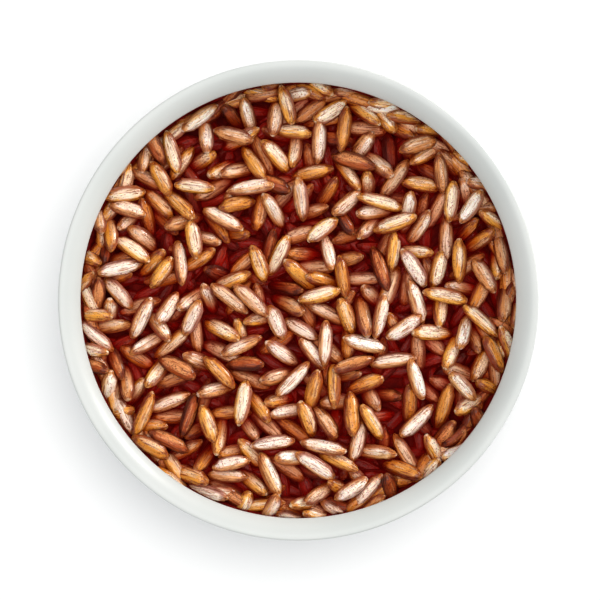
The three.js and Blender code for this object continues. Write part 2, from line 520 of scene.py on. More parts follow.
@dataclass
class Heap:
    """Settles grains one after another on a height map of the heap, as the CAD rice has them."""

    bowl: Bowl
    grain_length: float = 6.4
    grain_width: float = 2.2
    grain_thickness: float = 1.85
    length_spread: float = 0.13
    girth_spread: float = 0.09
    wall_gap: float = 0.35
    mouth: float = RIM_RADIUS - 3.0  # the radius that the grains fall through
    base: float = 22.0
    top: float = 27.4
    dropped: int = 600
    seed: int = 11
    cell: float = 0.2
    starts: int = 2
    slides: tuple[float, ...] = (1.0, 0.5)
    tries_a_slide: int = 8
    turn_a_mm: float = 0.35
    wall_band: float = 3.2  # the band along the wall that more grains then fill
    wall_base: float = 24.0  # they lie higher, on the grains that are pressed up the wall
    wall_dropped: int = 600
    wall_seed: int = 29
    wall_steps: int = 60  # stretches of the wall's section, for the map and the core
    surface_reach: float = 2.2  # how far round a place the tops are looked at
    along: tuple[float, ...] = (-0.92, -0.75, -0.55, -0.35, -0.15, 0, 0.15, 0.35, 0.55, 0.75, 0.92)
    across: tuple[float, ...] = (-0.85, -0.55, -0.25, 0, 0.25, 0.55, 0.85)

    def __post_init__(self) -> None:
        """Makes the empty map: the heap's base, and the bowl's inside round it."""
        self.side = round(2 * RIM_RADIUS / self.cell) + 1
        self.off_map = 2 * BOWL_HEIGHT
        place = np.arange(self.side) * self.cell - RIM_RADIUS
        self.radius = np.hypot(*np.meshgrid(place, place))
        wall = self.bowl.inner_wall(self.wall_steps)[::-1]
        inside = np.interp(self.radius + self.wall_gap, wall[:, 0], wall[:, 1], right=self.off_map)
        self.heights = np.maximum(self.base, inside)
        self.owner = np.full(self.heights.shape, -1)

    def to_cell(self, place: np.ndarray) -> np.ndarray:
        """The map's row or column at a place."""
        return np.floor((place + RIM_RADIUS) / self.cell + 0.5).astype(int)

    def rest(
        self, grain: Grain, x: np.ndarray, y: np.ndarray, yaw: np.ndarray
    ) -> tuple[np.ndarray, np.ndarray]:
        """How a grain comes to rest: on two points of the heap, one on each side of its middle.

        Args:
            grain: the grain.
            x: places to try.
            y: places to try.
            yaw: turns to try.

        Returns:
            For each try, the height of the grain's middle and its slope.
        """
        share = np.array(self.along)
        side = np.array(self.across)
        along = share * grain.length / 2
        across = side * girth(share)[:, None] * grain.width / 2
        rise = girth(side) * girth(share)[:, None] * grain.thickness / 2
        cos, sin = np.cos(yaw)[:, None, None], np.sin(yaw)[:, None, None]
        column = self.to_cell(x[:, None, None] + along[:, None] * cos - across * sin)
        row = self.to_cell(y[:, None, None] + along[:, None] * sin + across * cos)
        on_map = (np.minimum(column, row) >= 0) & (np.maximum(column, row) < self.side)
        last = self.side - 1
        ground = self.heights[np.clip(row, 0, last), np.clip(column, 0, last)]
        level = (np.where(on_map, ground, self.off_map) + rise).max(axis=2)
        near, far = along < 0, along >= 0
        slope = level[:, None, far] - level[:, near, None]
        slope = slope / (along[far][None, :] - along[near][:, None])
        height = level[:, near, None] - slope * along[near][:, None]
        flat_height = height.reshape(len(x), -1)
        best = flat_height.argmax(axis=1)
        each = np.arange(len(x))
        return flat_height[each, best], slope.reshape(len(x), -1)[each, best]

    def lowest(self, grain: Grain, x: np.ndarray, y: np.ndarray, yaw: np.ndarray) -> None:
        """Moves the grain to the lowest of several places, where that is lower than its own."""
        height, slope = self.rest(grain, x, y, yaw)
        best = int(height.argmin())
        if height[best] < grain.height:
            grain.x, grain.y, grain.yaw = float(x[best]), float(y[best]), float(yaw[best])
            grain.height, grain.slope = float(height[best]), float(slope[best])

    def settle(self, grain: Grain, draws: Draws, hole: float = 0.0) -> None:
        """Puts a grain at the lowest of several places, from where it slides to a lower one.

        Args:
            grain: the grain.
            draws: the source of the places.
            hole: the radius inside which no grain starts.
        """
        radius, turn, yaw = draws.take(3 * self.starts).reshape(-1, 3).T
        radius = np.sqrt(hole**2 + (self.mouth**2 - hole**2) * radius)
        x, y = radius * np.cos(2 * math.pi * turn), radius * np.sin(2 * math.pi * turn)
        self.lowest(grain, x, y, math.pi * yaw)
        for slide in self.slides:
            dx, dy, turn = (2 * draws.take(3 * self.tries_a_slide).reshape(-1, 3) - 1).T
            x, y = grain.x + slide * dx, grain.y + slide * dy
            self.lowest(grain, x, y, grain.yaw + slide * self.turn_a_mm * turn)

    def tops(self, grain: Grain) -> tuple[np.ndarray, np.ndarray, np.ndarray]:
        """The cells that a settled grain covers.

        Args:
            grain: the grain.

        Returns:
            Their rows, their columns and the height of its top in each.
        """
        reach = grain.length / 2
        span = np.array([-reach, reach])
        rows = np.arange(*self.to_cell(grain.y + span) + [0, 1])
        columns = np.arange(*self.to_cell(grain.x + span) + [0, 1])
        column, row = (cells.ravel() for cells in np.meshgrid(columns, rows))
        dx, dy = column * self.cell - RIM_RADIUS - grain.x, row * self.cell - RIM_RADIUS - grain.y
        cos, sin = math.cos(grain.yaw), math.sin(grain.yaw)
        lean = math.cos(math.atan(grain.slope))
        along = dx * cos + dy * sin
        share = along / (reach * lean)
        inside = np.abs(share) < 1
        row, column, dx, dy, along, share = (
            values[inside] for values in (row, column, dx, dy, along, share)
        )
        side = (dy * cos - dx * sin) / (girth(share) * grain.width / 2)
        under = np.abs(side) < 1
        rise = girth(side) * girth(share) * grain.thickness / 2 / lean
        return row[under], column[under], (grain.height + grain.slope * along + rise)[under]

    def drop(self, grains: list[Grain], count: int, seed: int, hole: float = 0.0) -> None:
        """Drops grains, and keeps the ones that settle below the heap's top.

        Args:
            grains: the settled grains, to which the kept ones are added.
            count: how many are dropped.
            seed: where the row of draws starts.
            hole: the radius inside which no grain starts.
        """
        draws = Draws(seed)
        spreads = np.array([self.length_spread, self.girth_spread, self.girth_spread])
        usual = np.array([self.grain_length, self.grain_width, self.grain_thickness])
        for _ in range(count):
            grain = Grain(*(usual * (1 + spreads * (2 * draws.take(3) - 1))))
            self.settle(grain, draws, hole)
            row, column, top = self.tops(grain)
            if top.max() > self.top:
                continue
            higher = top > self.heights[row, column]
            self.heights[row[higher], column[higher]] = top[higher]
            self.owner[row[higher], column[higher]] = len(grains)
            grains.append(grain)

    def open_wall(self) -> None:
        """Lets the next grains reach the wall, against which their ends are then pressed."""
        free = (self.owner < 0) & (self.radius > self.mouth - self.wall_band) & (self.radius < RIM_RADIUS)
        self.heights[free] = self.wall_base

    def surface(self) -> np.ndarray:
        """The level that the tops of the grains reach round each cell of the map.

        Returns:
            The levels in millimetres.
        """
        reach = round(self.surface_reach / self.cell)
        steps = range(-reach, reach + 1)
        inside = (self.radius < self.mouth).astype(float)
        tops = np.where(self.owner >= 0, self.heights, self.base)
        for axis in (0, 1):
            tops = np.max([np.roll(tops, k, axis) for k in steps], axis=0)
        tops, room = tops * inside, inside
        for axis in (0, 1):
            tops = np.mean([np.roll(tops, k, axis) for k in steps], axis=0)
            room = np.mean([np.roll(room, k, axis) for k in steps], axis=0)
        return np.divide(tops, room, out=np.full(tops.shape, self.base), where=room > 0)

    def buried(self, x: np.ndarray, y: np.ndarray, z: np.ndarray, surface: np.ndarray) -> np.ndarray:
        """How far places lie below the heap's surface.

        Args:
            x: places in millimetres.
            y: places in millimetres.
            z: places in millimetres.
            surface: the surface's level in each cell.

        Returns:
            Their depths in millimetres.
        """
        last = self.side - 1
        row, column = np.clip(self.to_cell(y), 0, last), np.clip(self.to_cell(x), 0, last)
        return surface[row, column] - z

    def fill(self) -> list[Grain]:
        """Drops all the grains.

        Returns:
            The ones that show from above.
        """
        grains: list[Grain] = []
        self.drop(grains, self.dropped, self.seed)
        self.open_wall()
        self.drop(grains, self.wall_dropped, self.wall_seed, self.mouth - self.wall_band)
        return [grains[k] for k in np.unique(self.owner[self.owner >= 0])]


# ---------------------------------------------------------------------------------------------
# The grains
# ---------------------------------------------------------------------------------------------


class GrainShader(Shader):
    """A grain's node tree, with the patterns that its finish is mixed from as outputs."""

    STREAKS: Triple = (1.6, 8.0, 8.0)  # how fine each noise is along and across a grain
    HAIRS: Triple = (3.2, 12.0, 12.0)
    PATCHES: Triple = (3.0, 2.2, 2.2)
    FLECKS: Triple = (28.0, 12.0, 12.0)
    STREAK_DETAIL = 3.0
    SPAN = 91.0  # how far apart the first and the last draw read the noises
    WANDER = 0.8  # radians over which the edges of the flats wander
    RIDGE_BAND: Band = (0.34, 0.5)  # the edge's part of a flat, whose middle is at 0

    def __init__(self, name: str, flats: int) -> None:
        """Makes the material and adds the patterns' nodes.

        Args:
            name: the material's name.
            flats: how many flats a grain has round it.
        """
        super().__init__(name)
        place = self.attribute("grain_place", "Vector")
        self.draw = self.attribute("grain_draw", "Fac")
        self.buried = self.attribute("grain_depth", "Fac")
        change = self.product(self.draw, self.SPAN)
        x, self.y, self.z = self.split(place)
        self.end = self.maths("ABSOLUTE", x)
        self.streaks = self.noise(place, self.STREAKS, change, self.STREAK_DETAIL)
        self.hairs = self.noise(place, self.HAIRS, change)
        self.patches = self.noise(place, self.PATCHES, change)
        self.flecks = self.noise(place, self.FLECKS, change)

        turn_a_flat = 2 * math.pi / flats
        angle = self.maths("ARCTAN2", self.z, self.y)
        wander = self.maths("MULTIPLY_ADD", self.patches, self.WANDER, -self.WANDER / 2)
        in_flats = self.maths("DIVIDE", self.maths("ADD", angle, wander), turn_a_flat)
        flat = self.maths("FLOOR", in_flats)
        across = self.maths("SUBTRACT", self.maths("SUBTRACT", in_flats, flat), 0.5)
        self.ridge = self.ramp(self.maths("ABSOLUTE", across), *self.RIDGE_BAND)
        bow = self.maths("COSINE", self.product(across, turn_a_flat))
        self.facet = self.maths("DIVIDE", math.cos(turn_a_flat / 2), bow)
        joined = self.node("ShaderNodeCombineXYZ", {"X": flat, "Y": change}).outputs["Vector"]
        picked = self.node("ShaderNodeTexWhiteNoise", {"Vector": joined}, noise_dimensions="2D")
        self.picked = picked.outputs["Value"]


@dataclass(frozen=True)
class GrainFinish:
    """The look of one kind of grain. Bands are the stretch of a pattern over which a mark comes in."""

    flesh: Colour
    flesh_deep: Colour
    bran: Colour
    tip: Colour
    worn: float  # how much of the grain's upper side is pale, 0 to 1: bran worn off, and painted light on the top and the side that faces the soft key
    roughness: float
    glow: float  # share of the light that goes through the grain's flesh
    coat: float

    streak_wear: float = 2.2  # how much the bran is worn by each pattern
    patch_wear: float = 1.2
    flat_wear: float = 0.6
    draw_wear: float = 0.9
    # painted light: the next two make each grain's top and its side towards the soft key paler, as lit
    # surfaces are
    painted_lit_side: float = 1.5
    painted_lit_top: float = 1.7
    end_band: Band = (0.28, 0.5)
    end_kept: float = 0.6  # how much less the two ends are worn
    bran_hold: float = 3.75  # the wear at which the bran of an unworn kind gives way
    bran_loss: float = 1.2  # how much sooner it does so on a kind that is worn all over
    thin_steps: Band = (-1.35, -0.5)  # from that wear, where the bran turns thin
    bare_steps: Band = (-0.25, 0.45)  # and where the pale flesh shows

    hem_waver: float = 0.3
    hem_band: Band = (0.34, 0.54)
    hem_bran_and_shade_strength: float = 0.85  # how brown the grain is along its two sides: bran, and painted shade where the sides turn down from the top
    tip_band: Band = (0.36, 0.5)
    tip_strength: float = 0.6
    seam_band: Band = (0.46, 0.6)
    seam_strength: float = 0.6
    cap_band: Band = (0.44, 0.485)
    cap_patches: Band = (0.44, 0.6)
    cap_strength: float = 0.7  # how pale the very ends are, in patches
    fleck_band: Band = (0.53, 0.63)
    fleck_streaks: Band = (0.4, 0.58)
    fleck_strength: float = 0.75

    tone_band: Band = (0.0, 0.7)
    tone_spread: float = 0.7  # how far the darkest grains of this kind go to the darker tone
    darker: Colour = shade(218, 186, 140)
    furrow: Colour = shade(186, 138, 104)  # what the fine lengthwise furrows darken the grain to
    furrow_band: Band = (0.33, 0.45)
    furrow_strength: float = 0.9
    hair_band: Band = (0.42, 0.66)
    hair_tones: Band = (0.99, 1.2)  # how bright the grain is between and on its fine hairs
    dusk: Colour = shade(226, 184, 150)  # painted shade: what the colour is darkened to a little below the tops
    dusk_depths: Band = (0.5, 1.9)
    gap_shade: Colour = shade(186, 52, 26)  # painted shade, deeper between the grains
    gap_shade_depths: Band = (1.4, 3.0)
    pit_shade: Colour = shade(225, 140, 130)  # painted shade at the bottom of the widest gaps
    pit_shade_depths: Band = (2.4, 3.8)
    gap_glow: Colour = (0.034, 0.0008, 0.0004)  # painted glow deep in the gaps, which stands in for light that seeps through the grains
    gap_glow_depths: Band = (1.2, 2.8)

    roughness_spread: float = 0.2
    shine: float = 0.32
    shine_tint: Colour = (1.0, 0.8, 0.64)
    glow_tint: Triple = (1.0, 0.5, 0.24)
    glow_reach: float = 0.36
    coat_depths: Band = (0.4, 2.2)
    coat_in_gap_shade: float = 0.22  # share of the coat that is left deep between the grains: painted shade that dims their reflections there
    coat_roughness: float = 0.1
    flats: int = 6  # flats round a grain, between its fine lengthwise ridges
    flat_depth: float = 0.9  # share of a true flat's depth
    hair_depth: float = 0.16
    streak_depth: float = 0.12
    fleck_depth: float = 0.12
    relief_depth: float = 1.1

    def bran_wear_and_light(self, shader: GrainShader) -> bpy.types.NodeSocket:
        """Colours the grain by how far its bran is worn off, and paints its top and its side towards the
        soft key paler as painted light.

        Args:
            shader: the finish's node tree.

        Returns:
            The colour's output.
        """
        # this mask mixes real wear (streaks, patches, flats, draw, ends) with painted light on the grain's
        # top and lit side
        wear_and_light = shader.weighed(
            (shader.streaks, self.streak_wear),
            (shader.picked, self.flat_wear),
            (shader.patches, self.patch_wear),
            (shader.y, self.painted_lit_side),
            (shader.z, self.painted_lit_top),
            (shader.ramp(shader.end, *self.end_band, 0.0, self.end_kept), -1.0),
            (shader.draw, self.draw_wear),
        )
        edge = self.bran_hold - self.worn * self.bran_loss
        coloured: object = self.bran
        for steps, colour in ((self.thin_steps, self.flesh_deep), (self.bare_steps, self.flesh)):
            coloured = shader.blend(shader.ramp(wear_and_light, *(edge + step for step in steps)), coloured, colour)
        return coloured

    def marked(self, shader: GrainShader, coloured: bpy.types.NodeSocket) -> bpy.types.NodeSocket:
        """Adds the brown sides (bran and painted edge shade), the tips, the seams between flats, the pale
        very ends and the flecks.

        Args:
            shader: the finish's node tree.
            coloured: the colour without them.

        Returns:
            The colour's output.
        """
        # bran and painted shade: brown along the grain's lower sides, which show as its outline from above
        hem_bran_and_shade = shader.weighed((shader.patches, self.hem_waver), (shader.z, 1.0))
        seams = shader.product(shader.ridge, shader.ramp(shader.streaks, *self.seam_band))
        caps = shader.ramp(shader.end, *self.cap_band)
        caps = shader.product(caps, shader.ramp(shader.patches, *self.cap_patches))
        flecks = shader.ramp(shader.flecks, *self.fleck_band)
        flecks = shader.product(flecks, shader.ramp(shader.streaks, *self.fleck_streaks))
        for mark, strength, colour in (
            (shader.ramp(hem_bran_and_shade, *self.hem_band, 1.0, 0.0), self.hem_bran_and_shade_strength, self.bran),
            (shader.ramp(shader.end, *self.tip_band), self.tip_strength, self.tip),
            (seams, self.seam_strength, self.bran),
            (caps, self.cap_strength, self.flesh),
            (flecks, self.fleck_strength, self.bran),
        ):
            coloured = shader.blend(shader.product(mark, strength), coloured, colour)
        return coloured

    def toned(self, shader: GrainShader, coloured: bpy.types.NodeSocket) -> bpy.types.NodeSocket:
        """Tones the grain by its draw and its fine hairs, and paints shade on it by how deep it lies.

        Args:
            shader: the finish's node tree.
            coloured: the colour before that.

        Returns:
            The colour's output.
        """
        tone = shader.ramp(shader.draw, *self.tone_band, self.tone_spread, 0.0)
        coloured = shader.blend(tone, coloured, self.darker, "MULTIPLY")
        furrows = shader.ramp(shader.hairs, *self.furrow_band, self.furrow_strength, 0.0)
        coloured = shader.blend(furrows, coloured, self.furrow, "MULTIPLY")
        tones = shader.ramp(shader.hairs, *self.hair_band, *self.hair_tones)
        scaled = shader.node("ShaderNodeVectorMath", {0: coloured, "Scale": tones}, operation="SCALE")
        coloured = scaled.outputs[0]
        # painted shade: the deeper a place lies below the heap's tops, the darker and redder it is painted
        for depths, tint in (
            (self.dusk_depths, self.dusk),
            (self.gap_shade_depths, self.gap_shade),
            (self.pit_shade_depths, self.pit_shade),
        ):
            coloured = shader.blend(shader.ramp(shader.buried, *depths), coloured, tint, "MULTIPLY")
        return coloured

    def material(self, name: str) -> bpy.types.Material:
        """Makes the finish as a material that reads each grain's own place, draw and depth.

        Args:
            name: the material's name.

        Returns:
            The material.
        """
        shader = GrainShader(name, self.flats)
        coloured = self.marked(shader, self.bran_wear_and_light(shader))
        least = self.roughness - self.roughness_spread / 2
        # painted light: the grains glow faintly red where they lie deep in the gaps
        gap_glowing = shader.ramp(shader.buried, *self.gap_glow_depths)
        # painted shade on the gloss: the coat thins where a place lies deep between the grains
        gap_shaded_coat = self.coat * self.coat_in_gap_shade
        shader.dress(
            {
                "Base Color": self.toned(shader, coloured),
                "Emission Color": shader.blend(gap_glowing, (0.0, 0.0, 0.0), self.gap_glow),
                "Emission Strength": 1.0,
                "Roughness": shader.maths("MULTIPLY_ADD", shader.hairs, self.roughness_spread, least),
                "Specular IOR Level": self.shine,
                "Specular Tint": self.shine_tint,
                "Subsurface Weight": self.glow,
                "Subsurface Radius": self.glow_tint,
                "Subsurface Scale": self.glow_reach * MM,
                "Coat Weight": shader.ramp(shader.buried, *self.coat_depths, self.coat, gap_shaded_coat),
                "Coat Roughness": self.coat_roughness,
            }
        )
        relief = shader.weighed(
            (shader.streaks, self.streak_depth),
            (shader.hairs, self.hair_depth),
            (shader.flecks, self.fleck_depth),
            (shader.facet, self.flat_depth),
        )
        shader.bump(relief, self.relief_depth)
        return shader.material


class GrainKind(Enum):
    """The kinds of grain in the bowl, each with its share of them and its finish."""

    AMBER = (
        0.45,
        GrainFinish(
            flesh=shade(255, 230, 204),
            flesh_deep=shade(240, 174, 74),
            bran=shade(148, 58, 12),
            tip=shade(240, 172, 76),
            worn=0.46,
            roughness=0.3,
            glow=0.32,
            coat=0.8,
        ),
    )
    ROSY = (
        0.36,
        GrainFinish(
            flesh=shade(255, 232, 216),
            flesh_deep=shade(228, 168, 112),
            bran=shade(138, 54, 24),
            tip=shade(234, 160, 80),
            worn=0.64,
            roughness=0.36,
            glow=0.28,
            coat=0.6,
        ),
    )
    CHALKY = (
        0.07,
        GrainFinish(
            flesh=shade(255, 245, 234),
            flesh_deep=shade(238, 190, 134),
            bran=shade(170, 92, 42),
            tip=shade(232, 160, 84),
            worn=0.92,
            roughness=0.46,
            glow=0.25,
            coat=0.25,
            tone_spread=0.2,
        ),
    )
    BRAN = (
        0.12,
        GrainFinish(
            flesh=shade(222, 150, 96),
            flesh_deep=shade(170, 80, 28),
            bran=shade(86, 20, 7),
            tip=shade(180, 92, 36),
            worn=0.4,
            roughness=0.4,
            glow=0.2,
            coat=0.4,
        ),
    )

    @property
    def share(self) -> float:
        """How many of all the grains are of this kind."""
        return self.value[0]

    @property
    def finish(self) -> GrainFinish:
        """The kind's finish."""
        return self.value[1]


@dataclass(frozen=True)
class GrainShape:
    """One form of a grain, of length, width and thickness 1. Its +Z side lies uppermost."""

    bend: float
    notch: float
    notch_turn: float
    blunt: float
    ridge: float
    germ_end: int = 1  # 1 has the blunt, notched end at +X, and -1 at -X
    pointed: float = 2.7
    point_fall: float = 0.64  # how fast the girth falls to each end
    blunt_fall: float = 0.56
    lobes: int = 5
    lobe_turn: float = 0.6
    notch_place: float = 0.86
    notch_length: float = 0.12
    sides: int = 10
    stations: tuple[float, ...] = (-0.98, -0.86, -0.6, -0.22, 0.2, 0.56, 0.82, 0.96)

    def girth_at(self, along: np.ndarray) -> np.ndarray:
        """Girth from the pointed end at -1 to the blunt end at 1, as a share of the widest."""
        pointed = (1 - np.abs(along) ** self.pointed) ** self.point_fall
        rounded = (1 - np.abs(along) ** self.blunt) ** self.blunt_fall
        return np.where(along < 0, pointed, rounded)

    def mesh(self, name: str) -> bpy.types.Mesh:
        """Makes the form as a mesh that keeps its own places in an attribute.

        Args:
            name: the mesh's name.

        Returns:
            The mesh.
        """
        along = np.array([-1.0, *self.stations, 1.0])
        outline = np.column_stack([self.girth_at(along) / 2, along / 2])
        outline[[0, -1], 0] = 0.0
        places, faces = turned(outline, self.sides)
        out, up, length = places.T
        turn = np.arctan2(up, out)
        span = 2 * length
        lobes = 1 + self.ridge * np.cos(self.lobes * turn + self.lobe_turn)
        dent = np.exp(-(((span - self.notch_place) / self.notch_length) ** 2))
        dent = dent * np.clip(np.cos(turn - self.notch_turn), 0, 1) ** 2
        swell = lobes * (1 - self.notch * dent)
        own = np.column_stack([length, out * swell + self.bend * (1 - span**2), up * swell])
        if self.germ_end < 0:
            own[:, 0] *= -1
            faces = [face[::-1] for face in faces]
        mesh = bpy.data.meshes.new(name)
        mesh.from_pydata(own.tolist(), [], faces)
        mesh.shade_smooth()
        kept = mesh.attributes.new("grain_place", "FLOAT_VECTOR", "POINT")
        kept.data.foreach_set("vector", own.astype(np.float32).ravel())
        return mesh


@dataclass(frozen=True)
class CoreFinish:
    """Rice too deep to be told apart, in dark reds that are painted shade of the deep gaps."""

    # painted shade: the core's two reds are dark, as deep rice in shadow is
    dark: Colour = shade(96, 8, 5)
    light: Colour = shade(124, 18, 9)
    grit_fineness: float = 700.0
    grit_band: Band = (0.3, 0.7)
    grit_depth: float = 0.4
    roughness: float = 0.7
    shine: float = 0.1

    def material(self) -> bpy.types.Material:
        """Makes the finish as a material that reads the piece's own place.

        Returns:
            The material.
        """
        shader = Shader("rice_core")
        place = shader.node("ShaderNodeTexCoord").outputs["Object"]
        grit = shader.noise(place, (self.grit_fineness,) * 3, 0.0)
        shader.dress(
            {
                "Base Color": shader.blend(shader.ramp(grit, *self.grit_band), self.dark, self.light),
                "Roughness": self.roughness,
                "Specular IOR Level": self.shine,
            }
        )
        shader.bump(grit, self.grit_depth)
        return shader.material


@dataclass
class Rice:
    """The heap: every settled grain, by kind, over a dark core that fills the bowl under them."""

    bowl: Bowl
    heap: Heap
    shapes: int = 8
    seed: int = 5
    bend_spread: float = 0.09
    notches: Band = (0.2, 0.5)
    notch_spread: float = 0.5  # radians that a notch lies beside the top, at most, either way
    blunts: Band = (3.0, 4.4)
    ridges: Band = (0.02, 0.045)
    plump: Triple = (1.02, 1.07, 1.04)  # how much fuller the grains are than they settled
    roll: float = 0.5  # radians that a grain lies rolled, at most, either way
    light_side: float = math.radians(30)  # the side of the bowl that each grain's painted lit side faces: the soft key's azimuth
    bedded: int = 230  # grains half sunk in the core, seen at the bottom of the gaps
    bedded_level: float = 22.5
    leaning: int = 54  # grains that lie along the wall, half sunk in the core's edge
    leaning_level: float = 25.0
    leaning_turn: float = 0.5  # radians that they turn from the wall's way, at most
    sunk_spread: float = 0.3  # how much the level and the slope of all of these differ
    slope_spread: float = 0.15
    core_level: float = 22.6
    core_edge_level: float = 26.3
    core_skirt: float = 1.9
    core_rise: float = 1.3  # how late the skirt turns up
    core_gap: float = 0.02
    core_rings: int = 64
    core_sides: int = 144
    core_bump: float = 0.5
    bump_waves: Band = (2.1, 2.4)  # radians a millimetre, along X and Y
    bump_bends: tuple[Band, Band] = ((1.7, 1.3), (1.5, 1.1))  # how far and how often they swerve
    smooth_edge: float = 0.3  # the width along the wall that has no bumps
    press_gap: float = 0.02
    core_finish: CoreFinish = field(default_factory=CoreFinish)

    def grain_shapes(self, draw: np.random.Generator) -> bpy.types.Collection:
        """Makes the forms that the grains are taken from.

        Args:
            draw: the source of their differences.

        Returns:
            A collection of them, outside the scene.
        """
        kept = bpy.data.collections.new("grain_shapes")
        for k in range(self.shapes):
            shape = GrainShape(
                bend=either(draw, self.bend_spread),
                notch=draw.uniform(*self.notches),
                notch_turn=either(draw, self.notch_spread),
                blunt=draw.uniform(*self.blunts),
                ridge=draw.uniform(*self.ridges),
                germ_end=1 if k % 2 else -1,
            )
            name = f"grain_shape_{k}"
            kept.objects.link(bpy.data.objects.new(name, shape.mesh(name)))
        return kept

    def spread_tree(self) -> bpy.types.NodeTree:
        """Builds the node tree that puts a grain's form on each point and makes it real mesh.

        Returns:
            The tree, with inputs named Grain shapes, Grain material, Seed and Millimetre.
        """
        tree = bpy.data.node_groups.new("settled_grains", "GeometryNodeTree")
        tree.interface.new_socket("Geometry", in_out="OUTPUT", socket_type="NodeSocketGeometry")
        for name, kind in (
            ("Geometry", "Geometry"),
            ("Grain shapes", "Collection"),
            ("Grain material", "Material"),
            ("Seed", "Int"),
            ("Millimetre", "Float"),
        ):
            tree.interface.new_socket(name, in_out="INPUT", socket_type=f"NodeSocket{kind}")

        def add(output: int, kind: str, given: dict[str | int, object], **settings: object) -> object:
            """Adds a node, and gives one of its outputs by number."""
            return add_node(tree, kind, given, **settings).outputs[output]

        given = add_node(tree, "NodeGroupInput").outputs
        seed = given["Seed"]
        apart = {"Collection": given["Grain shapes"], "Separate Children": True, "Reset Children": True}
        forms = add(0, "GeometryNodeCollectionInfo", apart, transform_space="ORIGINAL")
        numbers = {4: 0, 5: self.shapes - 1, "Seed": seed}
        picked = add(2, "FunctionNodeRandomValue", numbers, data_type="INT")
        turn, size = (
            add(0, "GeometryNodeInputNamedAttribute", {"Name": name}, data_type="FLOAT_VECTOR")
            for name in ("turn", "size")
        )
        scale = {0: size, "Scale": given["Millimetre"]}
        on_points = {
            "Points": given["Geometry"],
            "Instance": forms,
            "Pick Instance": True,
            "Instance Index": picked,
            "Rotation": add(0, "FunctionNodeEulerToRotation", {0: turn}),
            "Scale": add(0, "ShaderNodeVectorMath", scale, operation="SCALE"),
        }
        draw = {
            "Geometry": add(0, "GeometryNodeInstanceOnPoints", on_points),
            "Name": "grain_draw",
            "Value": add(1, "FunctionNodeRandomValue", {"Seed": seed}, data_type="FLOAT"),
        }
        noted = add(0, "GeometryNodeStoreNamedAttribute", draw, data_type="FLOAT", domain="INSTANCE")
        real = add(0, "GeometryNodeRealizeInstances", {0: noted})
        finish = {"Geometry": real, "Material": given["Grain material"]}
        add_node(tree, "NodeGroupOutput", {0: add(0, "GeometryNodeSetMaterial", finish)})
        return tree

    def points(self, name: str, grains: list[Grain], draw: np.random.Generator) -> bpy.types.Object:
        """Makes a mesh of bare points that hold each grain's turn and size.

        Args:
            name: the object's name.
            grains: the settled grains.
            draw: the source of each grain's roll.

        Returns:
            The points' object, in the scene.
        """
        mesh = bpy.data.meshes.new(name)
        mesh.from_pydata([(g.x * MM, g.y * MM, g.height * MM) for g in grains], [], [])
        turns, sizes = [], []
        for grain in grains:
            # each grain is turned so that its side with the painted light faces the soft key
            flipped = math.cos(grain.yaw + math.pi / 2 - self.light_side) < 0
            pitch = math.atan(grain.slope) * (1 if flipped else -1)
            yaw = grain.yaw + (math.pi if flipped else 0.0)
            turns.append((either(draw, self.roll), pitch, yaw))
            sizes.append(np.array((grain.length, grain.width, grain.thickness)) * self.plump)
        for label, values in (("turn", turns), ("size", sizes)):
            kept = mesh.attributes.new(label, "FLOAT_VECTOR", "POINT")
            kept.data.foreach_set("vector", np.array(values, np.float32).ravel())
        made = bpy.data.objects.new(name, mesh)
        bpy.context.scene.collection.objects.link(made)
        return made

    def bedded_grains(self, draw: np.random.Generator) -> list[Grain]:
        """Lays grains half sunk in the core, spread by the golden angle, and more along the wall.

        Args:
            draw: the source of their sizes and turns.

        Returns:
            The grains.
        """
        golden = math.pi * (3 - math.sqrt(5))
        reach = self.bowl.inside_radius(self.bedded_level) - self.heap.grain_width
        edge = self.bowl.inside_radius(self.leaning_level) - self.heap.grain_width / 2
        spots = []
        for k in range(self.bedded):
            radius = reach * math.sqrt((k + 0.5) / self.bedded)
            spots.append((radius, k * golden, draw.uniform(0.0, math.pi), self.bedded_level))
        for k in range(self.leaning):
            turn = 2 * math.pi * k / self.leaning
            yaw = turn + math.pi / 2 + either(draw, self.leaning_turn)
            spots.append((edge, turn, yaw, self.leaning_level))
        heap = self.heap
        return [
            Grain(
                length=heap.grain_length * (1 + either(draw, heap.length_spread)),
                width=heap.grain_width * (1 + either(draw, heap.girth_spread)),
                thickness=heap.grain_thickness * (1 + either(draw, heap.girth_spread)),
                x=radius * math.cos(turn),
                y=radius * math.sin(turn),
                yaw=yaw,
                height=level + either(draw, self.sunk_spread),
                slope=either(draw, self.slope_spread),
            )
            for radius, turn, yaw, level in spots
        ]

    def build_kind(
        self,
        kind: GrainKind,
        grains: list[Grain],
        tree: bpy.types.NodeTree,
        forms: bpy.types.Collection,
        draw: np.random.Generator,
        surface: np.ndarray,
    ) -> bpy.types.Object:
        """Makes all the grains of one kind as one mesh.

        Args:
            kind: the kind.
            grains: its settled grains.
            tree: the tree that spreads them.
            forms: the forms that they take.
            draw: the source of each grain's roll.
            surface: the level that the tops of the grains reach.

        Returns:
            The kind's object.
        """
        name = f"rice_{kind.name.lower()}"
        points = self.points(f"{name}_points", grains, draw)
        modifier = points.modifiers.new("spread", "NODES")
        modifier.node_group = tree
        material = kind.finish.material(name)
        inputs = {
            "Grain shapes": forms,
            "Grain material": material,
            "Seed": self.seed + len(grains),
            "Millimetre": MM,
        }
        for item in tree.interface.items_tree:
            if item.in_out == "INPUT" and item.name in inputs:
                modifier[item.identifier] = inputs[item.name]
        evaluated = points.evaluated_get(bpy.context.evaluated_depsgraph_get())
        mesh = bpy.data.meshes.new_from_object(evaluated)
        mesh.name = name
        bpy.data.objects.remove(points)
        self.press_and_note(mesh, surface)
        piece = bpy.data.objects.new(name, mesh)
        bpy.context.scene.collection.objects.link(piece)
        join_part(piece, "rice")
        return piece

